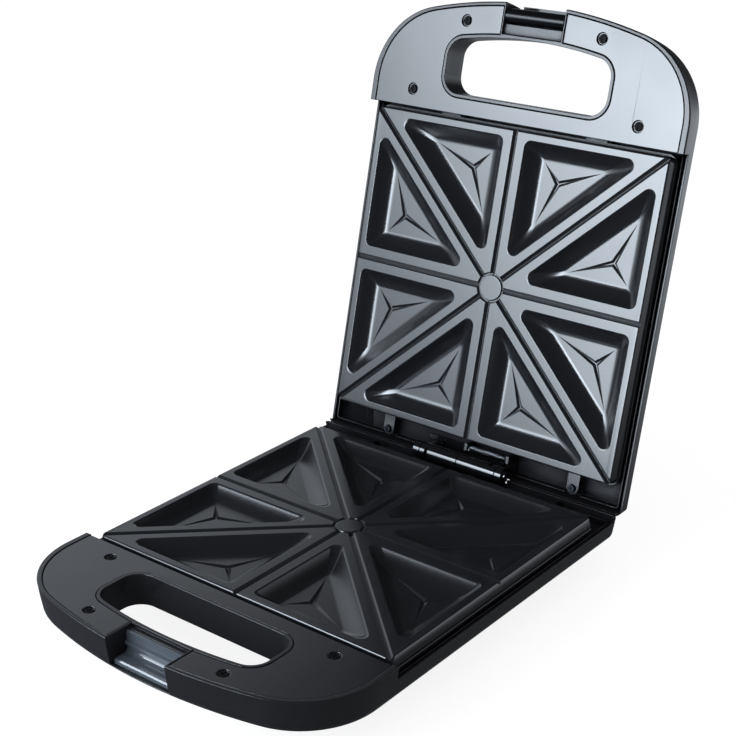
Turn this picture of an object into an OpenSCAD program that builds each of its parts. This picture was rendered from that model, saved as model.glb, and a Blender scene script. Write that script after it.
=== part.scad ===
// Four-portion sandwich toaster with its lid open.
// Both halves are drawn in one "half" frame: x across, y = 0 at the plate's rear edge and
// negative towards the handle, z = 0 on the plane where the halves meet, and the outside of the
// half below it. The lower half is lifted onto its feet, and the upper half is the same frame
// turned over and swung open about the hinge line.

/* [Plate] */
// Width of a cooking plate
plate_w = 240; // [200:1:290]
// Depth of a cooking plate, front to rear
plate_d = 224.5; // [188:0.5:270]
// Thickness of the plate's sheet
plate_t = 2.6; // [2:0.1:4]
// Height of the plate's side band
skirt_h = 7.5; // [6:0.5:9]
// Wall of the side band
skirt_t = 2.4; // [2:0.1:4]
// How far the step under the side band stands out
step_out = 1.8; // [1:0.1:2.4]
// Height of the step under the side band
step_h = 2; // [1.5:0.1:2.4]
// Corner radius of the plate
plate_r = 5; // [3:0.5:8]

/* [Pockets] */
// Depth of a sandwich pocket
pocket_depth = 9; // [6:0.5:11]
// Flat between a pocket and the plate's edge
edge_flat = 7.5; // [6:0.5:10]
// Flat between a pocket and the two straight dividing lines
line_flat = 9; // [7:0.5:12]
// Flat between a pocket and a diagonal line
diagonal_flat = 8.2; // [7:0.1:11]
// Corner radius of a pocket at its mouth
pocket_r = 4.5; // [3:0.5:6]
// Width of a pocket's sloped wall, seen from above
wall_run = 9; // [6:0.5:10]
// Width of the dividing grooves
groove_w = 3.4; // [2:0.1:5]
// Depth of the dividing grooves
groove_depth = 1.6; // [1:0.1:2]
// Radius of the disc where the dividing grooves meet
hub_r = 10.5; // [8:0.5:13]

/* [Housing] */
// Gap in width between the plate and the outside of the housing, one side
side_margin = 9; // [8:0.5:12]
// From the plate's front edge to the front of the handle
handle_d = 86; // [78:1:104]
// From the plate's rear edge to the outside of the rear wall
rear_d = 22; // [20:0.5:27]
// Radius of the handle's front edge
front_r = 350; // [310:5:420]
// Radius of the handle's front corners
corner_r = 58; // [49:1:69]
// Radius of the rear corners
rear_r = 5; // [4.2:0.1:6]
// Wall thickness of the housings
wall = 2.4; // [2:0.1:3]
// Thickness of the handle, from the meeting plane outwards
handle_t = 22; // [21:0.5:26]
// How far the side rims lie below the meeting plane
rim_drop = 9; // [7.5:0.5:10.5]
// How far the rear wall stands above the side rims
rear_rise = 2; // [1:0.1:2.4]
// Depth of the belly below the meeting plane
belly_t = 38; // [36:0.5:45]
// Depth of the inner deck below the meeting plane
deck_z = 15; // [14:0.5:16]

/* [Handle] */
// Width of the hand hole
hole_w = 132.8; // [111:0.1:159]
// Gap between the plate's front edge and the hand hole
hole_gap = 17.5; // [16:0.5:21]
// Bar of the handle in front of the hand hole
bar_d = 25; // [23:0.5:28]
// Corner radius of the hand hole
hole_r = 13; // [11:0.5:15.5]
// Width of the raised lip round the hand hole
lip_w = 2.4; // [2:0.1:3]
// Thickness of the inner handle covers
cover_t = 2.2; // [1.8:0.1:2.6]
// How far the covers lie below the rim
cover_drop = 0.4; // [0.2:0.1:0.8]
// Width of the rim round the cover, at the front
cover_rim_front = 3; // [2.6:0.1:4]
// Width of the rim round the cover, at the sides
cover_rim_side = 5; // [4:0.1:6]
// Gap along the cover's seam
seam = 0.3; // [0.2:0.05:0.5]
// Gap between the plate's front edge and the cover
cover_gap = 3.5; // [3:0.1:5]
// Sideways place of the two rear cover screws
rear_screw_x = 92.3; // [88:0.1:100]
// Place of the two rear cover screws in front of the plate's front edge
rear_screw_d = 16; // [14:0.5:19]
// Sideways place of the two front cover screws
front_screw_x = 54.8; // [46:0.1:60]
// Place of the two front cover screws behind the front of the handle
front_screw_d = 17; // [15:0.5:18]

/* [Latch] */
// Width of the latch notch
notch_w = 48; // [40:0.5:57]
// Depth of the lower notch, from the front of the handle
notch_d = 19.5; // [18:0.5:20]
// Depth of the upper notch, from the front of the handle
clip_notch_d = 15.5; // [14.5:0.5:16.5]
// Radius of the clip's barrel
clip_r = 5; // [4.5:0.1:5.4]
// Radius of the clip's pivot pin
clip_pin_r = 1.25; // [1:0.05:1.5]
// Reach of the clip's arm, from its pivot
clip_reach = 20.3; // [19:0.1:20.6]
// Thickness of the clip's arm
clip_arm_t = 3; // [2.5:0.1:3.4]
// How far the clip's nose stands out from its arm
clip_nose = 2.5; // [2:0.1:2.8]
// Running gap between the clip and its pin
clip_fit = 0.08; // [0.05:0.01:0.1]

/* [Hinge] */
// Place of the hinge line behind the plate's rear edge
hinge_y = 16.6; // [16:0.1:18]
// Depth of the hinge line below the meeting plane
hinge_drop = 1.6; // [1:0.1:2]
// Radius of the hinge barrel
hinge_r = 6.2; // [5.2:0.1:6.8]
// Length of each large knuckle
knuckle_l = 32; // [31.5:0.1:46]
// Length of the small knuckles at the ends
ear_l = 5; // [4:0.1:8]
// Gap between two knuckles
knuckle_gap = 0.8; // [0.5:0.1:1.2]
// Radius of the hinge pin
pin_r = 2; // [1.6:0.1:2.4]
// Running gap between the pin and the upper knuckles
pin_fit = 0.08; // [0.05:0.01:0.1]
// Angle of the open lid
lid_open = 103; // [80:1:105]
// Gap between the closed halves
meet_gap = 0.3; // [0.2:0.1:1]

/* [Fasteners] */
// Radius of the screws' heads
head_r = 3.6; // [3:0.1:4]
// Thickness of the screws' heads
head_t = 2; // [1.5:0.1:2.2]
// Radius of the screws' shanks
shank_r = 1.45; // [1.2:0.05:1.7]
// Radius of the screw bosses
boss_r = 4.5; // [4:0.1:5]
// Gap round a screw in its hole
screw_fit = 0.05; // [0.03:0.01:0.1]

/* [Heating] */
// Radius of the heating tube
tube_r = 3.3; // [2.7:0.1:3.6]
// Half the distance between the heating tube's legs
tube_x = 62; // [51:1:72]
// Bend radius of the heating tube
bend_r = 25; // [20:1:30]
// Thickness of the reflector sheet
sheet_t = 0.6; // [0.5:0.1:1]
// Gap between the head of the clamp's screw and the reflector
reflector_gap = 1.65; // [0.75:0.05:3.25]

/* [Feet] */
// Radius of a rubber foot
foot_r = 9; // [7.5:0.1:10.8]
// Height of a rubber foot
foot_h = 6; // [5:0.1:7.5]
// Sideways place of the feet
foot_x = 88; // [80:0.5:92]
// Place of the front feet behind the plate's front edge
foot_front_in = 25; // [20:0.5:30]
// Place of the rear feet in front of the plate's rear edge
foot_rear_in = 2; // [0:0.5:10]

/* [Wire guard] */
// Length of the coil
guard_l = 33; // [27:0.5:36]
// Radius of the coil's middle line
guard_r = 2; // [1.7:0.05:2.2]
// Radius of the coil's wire
guard_wire_r = 0.45; // [0.35:0.05:0.5]
// Number of curls
guard_curls = 20; // [16:1:22]

/* [Hidden] */
$fn = 48;

charcoal = "#3b3c41";
black = "#1b1c1f";
coating = "#2b2d31";
steel = "#a9acb0";
bright = "#c8cbd0";
eps = 0.01;
cut = 5;

// Outlines of the housing, in plan
half_w = plate_w / 2 + side_margin;
front_y = -(plate_d + handle_d);
arc_y = front_y + front_r;
cover_y = -(plate_d + cover_gap);
step_y = cover_y + 0.6;
handle_floor = -handle_t;
plate_rest_z = -(skirt_h + step_h);

// Belly
belly_front = cover_y - 5;
belly_rear = rear_d - 4;
belly_z = -belly_t;

// Screws and lugs
rear_screw_y = -(plate_d + rear_screw_d);
front_screw_y = front_y + front_screw_d;
lug_y = 12;
lug_left_x = -73;
lug_right_x = 88;
lug_r = 4.6;
lug_t = 2;
tongue_x = 60;
tongue_w = 16;
tongue_l = 3.2;

// Latch, in the half frame of the lower half and in that of the upper half
clip_y = front_y + 9.5;
clip_z = -clip_r - 0.2;
catch_y = front_y + notch_d;
clip_w = notch_w - 1.4;
side_post = 6;

// Hinge
hinge_z = -hinge_drop;
ear_in = knuckle_gap / 2 + knuckle_l + knuckle_gap;
barrel_end = ear_in + ear_l;
leaf_t = 2.5;
leaf_front = hinge_y - 9.5;
leaf_rear = rear_d - wall - 2;
leaf_screw_y = hinge_y - 5.5;
leaf_screw_x = 27;

// Levels of the latch catch
strip_drop = 2.4;
catch_floor = handle_floor + 1.8;
bead_y = catch_y - 3.6;
bead_z = -11.2;
ledge_z = -17;
ledge_r = 3;
ledge_front = front_y + 7.5;
pivot_l = notch_w + 2 * side_post - 4;
notch_edge = 1.6;

// Heating parts
tube_z = -(pocket_depth + plate_t) - tube_r - 0.3;
tube_front = -plate_d + 40;
tube_rear = -18;
clamp_z = tube_z - tube_r - 0.05;
clamp_t = 1.2;
clamp_shank_r = 2;
reflector_z = clamp_t + head_t + reflector_gap - clamp_z;
reflector_screw_l = 6;
thermostat_y = -62;
fuse_y = -160;
fuse_r = 2;

// Fittings
block_x = -45;
block_y = -2;
inlet_x = 72;
inlet_z = -29;
inlet_r = 7.5;
lamp_x = 11;
lamp_y = belly_front + 32;
lens_r = 3.5;
foot_ys = [-plate_d + foot_front_in, -foot_rear_in];
// The feet's bosses end below the tips of the reflector's screws.
foot_boss_top = min(belly_z + 8, -reflector_z - reflector_screw_l - 0.4);
collar_l = 2.2;
guard_x0 = 2;
guard_y = 5.8;
guard_z = -4.2;

// Where the halves stand
feet_z = belly_t + foot_h;
lid_lift = meet_gap;
handle_back_y = (-front_y + hinge_y) * -cos(lid_open) + (handle_t + hinge_drop) * sin(lid_open);
origin_y = -(front_y + hinge_y + handle_back_y) / 2;

// ---------- outlines and lofts ----------

function arc(cx, cy, r, a0, a1, n) =
    [for (i = [0:n]) let(a = a0 + (a1 - a0) * i / n) [cx + r * cos(a), cy + r * sin(a)]];

// A straight-sided outline whose front edge is one large arc: half width, arc radius and centre,
// front corner radius, rear edge and rear corner radius, all drawn in by d.
function d_outline(hw, r, cy, cr, ry, rr, d = 0) =
    let(cx = hw - cr,
        yc = cy - sqrt((r - cr) * (r - cr) - cx * cx),
        a = atan2(yc - cy, cx) + 360)
    concat(arc(hw - rr, ry - rr, rr - d, 0, 90, 5),
           arc(-(hw - rr), ry - rr, rr - d, 90, 180, 5),
           arc(-cx, yc, cr - d, 180, 540 - a, 8),
           [for (i = [1:11]) let(b = 540 - a + (2 * a - 540) * i / 12)
               [(r - d) * cos(b), cy + (r - d) * sin(b)]],
           arc(cx, yc, cr - d, a, 360, 8));

function body_outline(d = 0) = d_outline(half_w, front_r, arc_y, corner_r, rear_d, rear_r, d);
function cover_outline(d = 0) =
    d_outline(half_w - cover_rim_side, front_r - cover_rim_front, arc_y,
              corner_r - 4, cover_y, 1, d);
function hole_outline(d = 0) =
    d_outline(hole_w / 2, front_r - bar_d, arc_y, hole_r, -(plate_d + hole_gap), hole_r, d);

function rounded_box(hw, front, rear, r) =
    concat(arc(hw - r, rear - r, r, 0, 90, 5), arc(-(hw - r), rear - r, r, 90, 180, 5),
           arc(-(hw - r), front + r, r, 180, 270, 5), arc(hw - r, front + r, r, 270, 360, 5));

function lifted(outline, z) = [for (p = outline) [p[0], p[1], z]];

// A closed solid through rings of points that are listed from the lowest to the highest.
module loft(rings) {
    n = len(rings[0]);
    last = (len(rings) - 1) * n;
    polyhedron(
        points = [for (ring = rings) each ring],
        faces = concat(
            [[for (i = [0:n - 1]) i]],
            [for (k = [0:len(rings) - 2], i = [0:n - 1]) let(j = (i + 1) % n)
                each [[k * n + i, (k + 1) * n + i, (k + 1) * n + j],
                      [k * n + i, (k + 1) * n + j, k * n + j]]],
            [[for (i = [n - 1:-1:0]) last + i]]),
        convexity = 6);
}

module slab(outline, z0, z1) {
    translate([0, 0, z0]) linear_extrude(z1 - z0) polygon(outline);
}

module block(x0, x1, y0, y1, z0, z1) {
    translate([x0, y0, z0]) cube([x1 - x0, y1 - y0, z1 - z0]);
}

module post(x, y, z0, z1, r) {
    translate([x, y, z0]) cylinder(h = z1 - z0, r = r);
}

module lower_half() {
    translate([0, origin_y, feet_z]) children();
}

module upper_half() {
    translate([0, origin_y + hinge_y, feet_z + hinge_z])
        rotate([-lid_open, 0, 0])
            translate([0, -hinge_y, -hinge_z + lid_lift])
                mirror([0, 0, 1]) children();
}

// ---------- pockets ----------

function unit(v) = v / norm(v);
function side_len(t, i) = norm(t[(i + 1) % 3] - t[(i + 2) % 3]);
function incentre(t) =
    let(a = side_len(t, 0), b = side_len(t, 1), c = side_len(t, 2))
    (a * t[0] + b * t[1] + c * t[2]) / (a + b + c);
function inradius(t) =
    let(a = side_len(t, 0), b = side_len(t, 1), c = side_len(t, 2), s = (a + b + c) / 2)
    sqrt((s - a) * (s - b) * (s - c) / s);

// The triangle t drawn in by d, its corners rounded to r, anticlockwise.
function pocket_ring(t, d, r, n = 5) =
    let(m = incentre(t), k = 1 - d / inradius(t), s = [for (p = t) m + (p - m) * k])
    [for (i = [0:2])
        let(u = unit(s[(i + 2) % 3] - s[i]), w = unit(s[(i + 1) % 3] - s[i]),
            half = acos(u * w) / 2,
            c = s[i] + unit(u + w) * r / sin(half),
            a0 = atan2(-u[0], u[1]) + 180,
            turn = 180 - 2 * half)
        for (j = [0:n]) let(a = a0 + turn * j / n) [c[0] + r * cos(a), c[1] + r * sin(a)]];

// Sharp corners of the two pockets of the quadrant at +x and towards the rear, measured from
// the plate's centre and anticlockwise.
quad_w = plate_w / 2;
quad_d = plate_d / 2;
slope_len = norm([quad_w, quad_d]);
cut_x = diagonal_flat * slope_len / quad_d;
cut_y = diagonal_flat * slope_len / quad_w;
function diagonal_x(y) = y * quad_w / quad_d;
function diagonal_y(x) = x * quad_d / quad_w;
function centre_pocket() =
    let(top = quad_d - edge_flat)
    [[line_flat, diagonal_y(line_flat) + cut_y], [diagonal_x(top) - cut_x, top],
     [line_flat, top]];
function side_pocket() =
    let(out = quad_w - edge_flat)
    [[diagonal_x(line_flat) + cut_x, line_flat], [out, line_flat],
     [out, diagonal_y(out) - cut_y]];

// Profile of a pocket's wall: how far in, and how deep, as shares of the run and the depth.
wall_profile = [[1, 1], [0.74, 0.93], [0.46, 0.7], [0.2, 0.36], [0.06, 0.08], [0, 0]];

module pocket_hollow(t) {
    loft(concat(
        [for (p = wall_profile)
            lifted(pocket_ring(t, wall_run * p[0], pocket_r - 2.4 * p[0]), -pocket_depth * p[1])],
        [lifted(pocket_ring(t, 0, pocket_r), 1)]));
}

module pocket_pan(t) {
    loft([lifted(pocket_ring(t, wall_run - plate_t, pocket_r, 3), -pocket_depth - plate_t + 0.3),
          lifted(pocket_ring(t, 0.2 * wall_run - plate_t, pocket_r + 1, 3),
                 -0.45 * pocket_depth - plate_t),
          lifted(pocket_ring(t, -0.9 * plate_t, pocket_r + 1, 3), -eps)]);
}

// Three tapering rays from the middle of a pocket's floor towards its corners.
module pocket_rays(t) {
    m = incentre(t);
    for (p = t) {
        u = unit(p - m);
        v = [-u[1], u[0]];
        reach = 0.44 * norm(p - m);
        slab([m - 1.2 * v, m + reach * u, m + 1.2 * v, m - 1.2 * u],
             -pocket_depth - 0.9, -pocket_depth + eps);
    }
}

module each_quadrant() {
    for (mx = [0, 1], my = [0, 1])
        translate([0, -plate_d / 2, 0]) mirror([mx, 0, 0]) mirror([0, my, 0]) children();
}

module cooking_plate() {
    color(coating) difference() {
        union() {
            difference() {
                union() {
                    slab(rounded_box(plate_w / 2, -plate_d, 0, plate_r), -skirt_h, 0);
                    slab(rounded_box(plate_w / 2 + step_out, -plate_d - step_out, step_out,
                                     plate_r + step_out), plate_rest_z, -skirt_h + eps);
                }
                slab(rounded_box(plate_w / 2 - skirt_t, -plate_d + skirt_t, -skirt_t, plate_r),
                     plate_rest_z - cut, -plate_t);
            }
            each_quadrant() {
                pocket_pan(centre_pocket());
                pocket_pan(side_pocket());
            }
            post(0, -plate_d / 2, clamp_z + 0.05, -1, 6);
            for (x = [lug_left_x, lug_right_x]) {
                post(x, lug_y, plate_rest_z, plate_rest_z + lug_t, lug_r);
                block(x - lug_r, x + lug_r, -1, lug_y, plate_rest_z, plate_rest_z + lug_t);
            }
            for (x = [-tongue_x, tongue_x])
                block(x - tongue_w / 2, x + tongue_w / 2, -plate_d - tongue_l, -plate_d + 1,
                      plate_rest_z, plate_rest_z + lug_t);
        }
        each_quadrant() {
            pocket_hollow(centre_pocket());
            pocket_hollow(side_pocket());
            pocket_rays(centre_pocket());
            pocket_rays(side_pocket());
        }
        translate([0, -plate_d / 2, 0]) difference() {
            union() {
                block(-groove_w / 2, groove_w / 2, -plate_d, plate_d, -groove_depth, cut);
                block(-plate_w, plate_w, -groove_w / 2, groove_w / 2, -groove_depth, cut);
                for (s = [-1, 1]) rotate([0, 0, s * atan2(quad_d, quad_w)])
                    block(-plate_w, plate_w, -groove_w / 2, groove_w / 2, -groove_depth, cut);
                post(0, 0, -groove_depth, cut, hub_r + 1.4);
            }
            post(0, 0, -groove_depth - 1, -0.3, hub_r);
        }
        post(0, -plate_d / 2, clamp_z - cut, clamp_z + 9, clamp_shank_r + screw_fit);
        for (x = [lug_left_x, lug_right_x])
            post(x, lug_y, plate_rest_z - cut, plate_rest_z + cut, shank_r + screw_fit);
    }
}

// ---------- fasteners ----------

// A cross-head screw: the head's top at z, its shank running down from it.
module screw(x, y, z, length, hr = head_r, ht = head_t, sr = shank_r) {
    translate([x, y, z]) difference() {
        union() {
            translate([0, 0, -ht]) cylinder(h = ht, r1 = hr, r2 = 0.82 * hr);
            translate([0, 0, -ht - length]) cylinder(h = length + eps, r = sr);
        }
        for (a = [0, 90]) rotate([0, 0, a])
            block(-0.6 * hr, 0.6 * hr, -0.11 * hr, 0.11 * hr, -0.55 * ht, cut);
    }
}

cover_screws = [[-rear_screw_x, rear_screw_y], [rear_screw_x, rear_screw_y],
                [-front_screw_x, front_screw_y], [front_screw_x, front_screw_y]];
cover_top = -cover_drop;
cover_under = cover_top - cover_t;
sink = 1.5;
cover_head_t = 1.2;
cover_screw_l = 11;
plate_screw_l = 5;
leaf_screw_l = 1.8;

module handle_cover_screws() {
    color(black) for (p = cover_screws)
        screw(p[0], p[1], cover_top - sink + cover_head_t, cover_screw_l,
              head_r - 0.2, cover_head_t);
}

module plate_screws() {
    color(steel) for (x = [lug_left_x, lug_right_x])
        screw(x, lug_y, plate_rest_z + lug_t + head_t, plate_screw_l, head_r - 0.6);
}

// ---------- housings ----------

module outer_form() {
    loft([lifted(body_outline(rear_r - 0.6), handle_floor),
          lifted(body_outline(rear_r - 1.4), handle_floor + 1.1),
          lifted(body_outline(2.4), handle_floor + 4),
          lifted(body_outline(1), -rim_drop),
          lifted(body_outline(0.2), -2.2),
          lifted(body_outline(0), -1),
          lifted(body_outline(0.6), 0)]);
    belly(0);
}

module belly(d) {
    loft([lifted(rounded_box(half_w - 25 - d, belly_front + 18 + d, belly_rear - 8 - d, 12),
                 belly_z + d),
          lifted(rounded_box(half_w - 20 - d, belly_front + 13 + d, belly_rear - 4 - d, 16),
                 belly_z + 2 + 0.6 * d),
          lifted(rounded_box(half_w - 15 - d, belly_front + 8 + d, belly_rear - 1 - d, 16),
                 belly_z + 8),
          lifted(rounded_box(half_w - 6 - d, belly_front + d, belly_rear - d, 14),
                 handle_floor + 3)]);
}

module inner_form() {
    loft([lifted(body_outline(rear_r - 0.2), handle_floor + wall),
          lifted(body_outline(2 + wall), handle_floor + wall + 4),
          lifted(body_outline(1 + wall), -rim_drop),
          lifted(body_outline(wall - 0.4), cut)]);
    belly(wall);
}

// The rib inside the side rims, with a groove between the two.
module side_rib() {
    difference() {
        slab(rounded_box(half_w - wall - 2.2, step_y, rear_d - wall - 2.2, 3),
             -deck_z - eps, -rim_drop - 0.6);
        slab(rounded_box(half_w - wall - 3.4, step_y - cut, rear_d - wall - 3.4, 2),
             -deck_z - cut, cut);
        block(-barrel_end - 2, barrel_end + 2, 0, rear_d, -deck_z - cut, cut);
        for (x = [lug_left_x, lug_right_x])
            block(x - boss_r - 1, x + boss_r + 1, 0, rear_d, -deck_z - cut, cut);
    }
}

module deck() {
    difference() {
        slab(body_outline(2), -deck_z - 2, -deck_z);
        slab(rounded_box(plate_w / 2 - 8, -plate_d + 8, -8, 6), -deck_z - cut, cut);
        block(-half_w - cut, half_w + cut, front_y - cut, cover_y - wall, -deck_z - cut, cut);
    }
}

module bulkhead() {
    intersection() {
        block(-half_w, half_w, cover_y - wall, cover_y, belly_z / 2 - 6, cover_under - eps);
        slab(body_outline(2), handle_floor + 1, cut);
    }
}

// Screw bosses, the seats of the plate's lugs and tongues, and the posts of the reflector.
module bosses() {
    for (p = cover_screws) post(p[0], p[1], handle_floor + 1, cover_under, boss_r);
    for (x = [lug_left_x, lug_right_x])
        post(x, lug_y, -deck_z - eps, plate_rest_z, boss_r);
    for (x = [-tongue_x, tongue_x])
        block(x - tongue_w / 2 - 2, x + tongue_w / 2 + 2, cover_y - eps, cover_y + 3,
              -deck_z - eps, plate_rest_z);
    for (p = reflector_posts) post(p[0], p[1], belly_z + 1, -reflector_z - sheet_t, 4);
}

module boss_holes() {
    for (p = cover_screws)
        post(p[0], p[1], cover_under - cover_screw_l - 1, cut, shank_r + screw_fit);
    for (x = [lug_left_x, lug_right_x])
        post(x, lug_y, plate_rest_z - plate_screw_l - 1, cut, shank_r + screw_fit);
    for (p = reflector_posts)
        post(p[0], p[1], -reflector_z - sheet_t - reflector_screw_l - 1, -reflector_z + cut,
             shank_r + screw_fit);
    for (x = [-leaf_screw_x, leaf_screw_x])
        post(x, leaf_screw_y, -deck_z - cut, cut, shank_r + screw_fit);
}

reflector_posts = [for (sx = [-1, 1], y = [-plate_d + 30, -30]) [sx * (plate_w / 2 - 30), y]];

// Everything above the side rims and the rear wall, from just behind the cover. The rear wall
// stands a little above the rims, apart from the stretch behind the hinge barrel.
module above_rims() {
    block(-half_w - cut, half_w + cut, step_y, rear_d - wall - 1, -rim_drop, cut);
    block(-half_w - cut, half_w + cut, step_y, rear_d + cut, -rim_drop + rear_rise, cut);
    block(-barrel_end - 2, barrel_end + 2, step_y, rear_d + cut, -rim_drop, cut);
}

// The rim that frames the cover, over the thinner wall below it.
module handle_rim() {
    difference() {
        union() {
            slab(body_outline(0.8), cover_under, -1);
            slab(body_outline(0.6), -1 - eps, 0);
        }
        slab(cover_outline(-seam), cover_under - cut, cut);
        above_rims();
    }
}

// Walls at the sides and the back of the latch notch; depth is the notch's own.
module notch_walls(depth) {
    edge = notch_w / 2 + notch_edge - seam;
    intersection() {
        slab(body_outline(1), handle_floor + 1, 0);
        union() {
            block(-notch_w / 2 - side_post, notch_w / 2 + side_post, front_y - cut,
                  front_y + depth + 1, handle_floor, cover_under);
            block(-edge, edge, front_y - cut, front_y + bar_d, handle_floor, cut);
        }
    }
}

module notch_hollow(depth, floor_z) {
    block(-notch_w / 2, notch_w / 2, front_y - cut, front_y + depth, floor_z, cut);
    block(-notch_w / 2, notch_w / 2, front_y + depth - 1, front_y + bar_d - lip_w + 0.2,
          -strip_drop, cut);
}

module housing(depth, floor_z) {
    difference() {
        union() {
            difference() {
                outer_form();
                inner_form();
            }
            slab(hole_outline(-lip_w), handle_floor, 0);
            side_rib();
            deck();
            bulkhead();
            bosses();
            handle_rim();
            notch_walls(depth);
        }
        slab(hole_outline(), handle_floor - cut, cut);
        notch_hollow(depth, floor_z);
        above_rims();
        boss_holes();
    }
}

module handle_cover(depth) {
    difference() {
        slab(cover_outline(), cover_under, cover_top);
        slab(hole_outline(-lip_w - seam), cover_under - cut, cut);
        block(-notch_w / 2 - notch_edge, notch_w / 2 + notch_edge, front_y - cut,
              front_y + bar_d, cover_under - cut, cut);
        for (p = cover_screws) {
            post(p[0], p[1], cover_top - sink, cut, head_r + 0.5);
            post(p[0], p[1], cover_under - cut, cut, shank_r + screw_fit);
        }
    }
}

module lower_housing() {
    color(charcoal) lower_half() difference() {
        union() {
            housing(notch_d, catch_floor);
            for (sx = [-1, 1], y = foot_ys) post(sx * foot_x, y, belly_z, foot_boss_top, 5);
        }
        for (sx = [-1, 1], y = foot_ys)
            post(sx * foot_x, y, belly_z - cut, belly_z + 7, shank_r + screw_fit);
        inlet_hole();
    }
}

module upper_housing() {
    color(charcoal) upper_half() difference() {
        housing(clip_notch_d, handle_floor - cut);
        pivot_line() cylinder(h = pivot_l + 0.4, r = clip_pin_r + 0.02, center = true);
        for (x = [-lamp_x, lamp_x]) post(x, lamp_y, belly_z - cut, belly_z + 6, lens_r + 0.1);
    }
}

module lower_handle_cover() {
    color(charcoal) lower_half() handle_cover(notch_d);
}

module upper_handle_cover() {
    color(charcoal) upper_half() handle_cover(clip_notch_d);
}

module lower_cover_screws() {
    lower_half() handle_cover_screws();
}

module upper_cover_screws() {
    upper_half() handle_cover_screws();
}

module lower_cooking_plate() {
    lower_half() cooking_plate();
}

module upper_cooking_plate() {
    upper_half() cooking_plate();
}

module lower_plate_screws() {
    lower_half() plate_screws();
}

module upper_plate_screws() {
    upper_half() plate_screws();
}

// ---------- latch ----------

// The catch in the lower notch: a wall with a bead, curved into a ledge.
module latch_catch() {
    w = notch_w - 2 * seam;
    back = catch_y - seam;
    color(bright) lower_half() translate([-w / 2, 0, 0]) rotate([90, 0, 90])
        linear_extrude(w) polygon(concat(
            [[back, catch_floor + 0.05], [back, -strip_drop - 0.6], [back - 1.6, -strip_drop - 0.6]],
            [[back - 1.6, bead_z + 2.4], [bead_y, bead_z + 1.6], [bead_y, bead_z],
             [back - 1.6, bead_z]],
            arc(back - 1.6 - ledge_r, ledge_z + ledge_r, ledge_r, 0, -90, 6),
            [[ledge_front, ledge_z], [ledge_front - 0.8, ledge_z - 0.8],
             [ledge_front - 0.8, catch_floor + 0.05]]));
}

module pivot_line() {
    translate([0, clip_y, clip_z]) rotate([0, 90, 0]) children();
}

// The clip: a barrel on the pivot, and an arm whose end carries the nose that catches the bead.
module latch_clip() {
    color(black) upper_half() difference() {
        union() {
            pivot_line() cylinder(h = clip_w, r = clip_r, center = true);
            block(-clip_w / 2, clip_w / 2, clip_y - clip_r, clip_y - clip_r + clip_arm_t,
                  clip_z - clip_reach, clip_z);
            block(-clip_w / 2, clip_w / 2, clip_y - clip_r - clip_nose,
                  clip_y - clip_r + clip_arm_t, clip_z - clip_reach, clip_z - clip_reach + 3);
        }
        pivot_line() cylinder(h = notch_w + 2 * cut, r = clip_pin_r + clip_fit, center = true);
        // grip grooves along the barrel's outer side
        for (k = [0:2])
            block(-clip_w / 2 + 4, clip_w / 2 - 4, clip_y - clip_r - cut,
                  clip_y - clip_r + 0.5, clip_z - 5.5 - 3 * k, clip_z - 4.3 - 3 * k);
    }
}

module latch_pivot_pin() {
    color(steel) upper_half() pivot_line() cylinder(h = pivot_l, r = clip_pin_r, center = true);
}

// ---------- hinge ----------

module hinge_line(line_z = hinge_z) {
    translate([0, hinge_y, line_z]) rotate([0, 90, 0]) children();
}

// A leaf with a large knuckle on the -x side and a small one at the +x end. line_z is the height
// of the hinge line in the half that the leaf is screwed to.
module hinge_leaf(bore_r, line_z) {
    spans = [[-knuckle_gap / 2 - knuckle_l, -knuckle_gap / 2], [ear_in, barrel_end]];
    difference() {
        union() {
            block(-barrel_end, barrel_end, leaf_front, leaf_rear, -deck_z, -deck_z + leaf_t);
            for (s = spans) {
                block(s[0], s[1], hinge_y - 3, leaf_rear, -deck_z + leaf_t - eps, line_z);
                translate([s[0], 0, 0])
                    hinge_line(line_z) cylinder(h = s[1] - s[0], r = hinge_r);
            }
        }
        translate([-barrel_end - cut, 0, 0])
            hinge_line(line_z) cylinder(h = 2 * (barrel_end + cut), r = bore_r);
        for (x = [-leaf_screw_x, leaf_screw_x])
            post(x, leaf_screw_y, -deck_z - cut, cut, shank_r + screw_fit);
    }
}

module leaf_screws() {
    color(steel) for (x = [-leaf_screw_x, leaf_screw_x])
        screw(x, leaf_screw_y, -deck_z + leaf_t + 1.4, leaf_t + leaf_screw_l, head_r - 1, 1.4);
}

module lower_hinge_leaf() {
    color(black) lower_half() hinge_leaf(pin_r, hinge_z);
}

// The upper leaf also carries the two collars that the wire guard sits between.
module upper_hinge_leaf() {
    color(black) upper_half() {
        mirror([1, 0, 0]) hinge_leaf(pin_r + pin_fit, lid_lift - hinge_z);
        difference() {
            for (x = [guard_x0 - collar_l - 0.3, guard_x0 + guard_l + 0.3])
                block(x, x + collar_l, guard_y - 2.8, leaf_front + 1, -deck_z, guard_z + 2.8);
            translate([guard_x0 - cut, guard_y, guard_z])
                rotate([0, 90, 0]) cylinder(h = guard_l + 2 * cut, r = 1.1);
        }
    }
}

module lower_hinge_screws() {
    lower_half() leaf_screws();
}

module upper_hinge_screws() {
    upper_half() leaf_screws();
}

module hinge_pin() {
    color(steel) lower_half() translate([-barrel_end - 1.6, 0, 0]) hinge_line() {
        cylinder(h = 2 * barrel_end + 3.2, r = pin_r - 0.01);
        cylinder(h = 1.3, r = pin_r + 1.4);
        translate([0, 0, 2 * barrel_end + 1.9]) cylinder(h = 1.3, r = pin_r + 1.4);
    }
}

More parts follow.
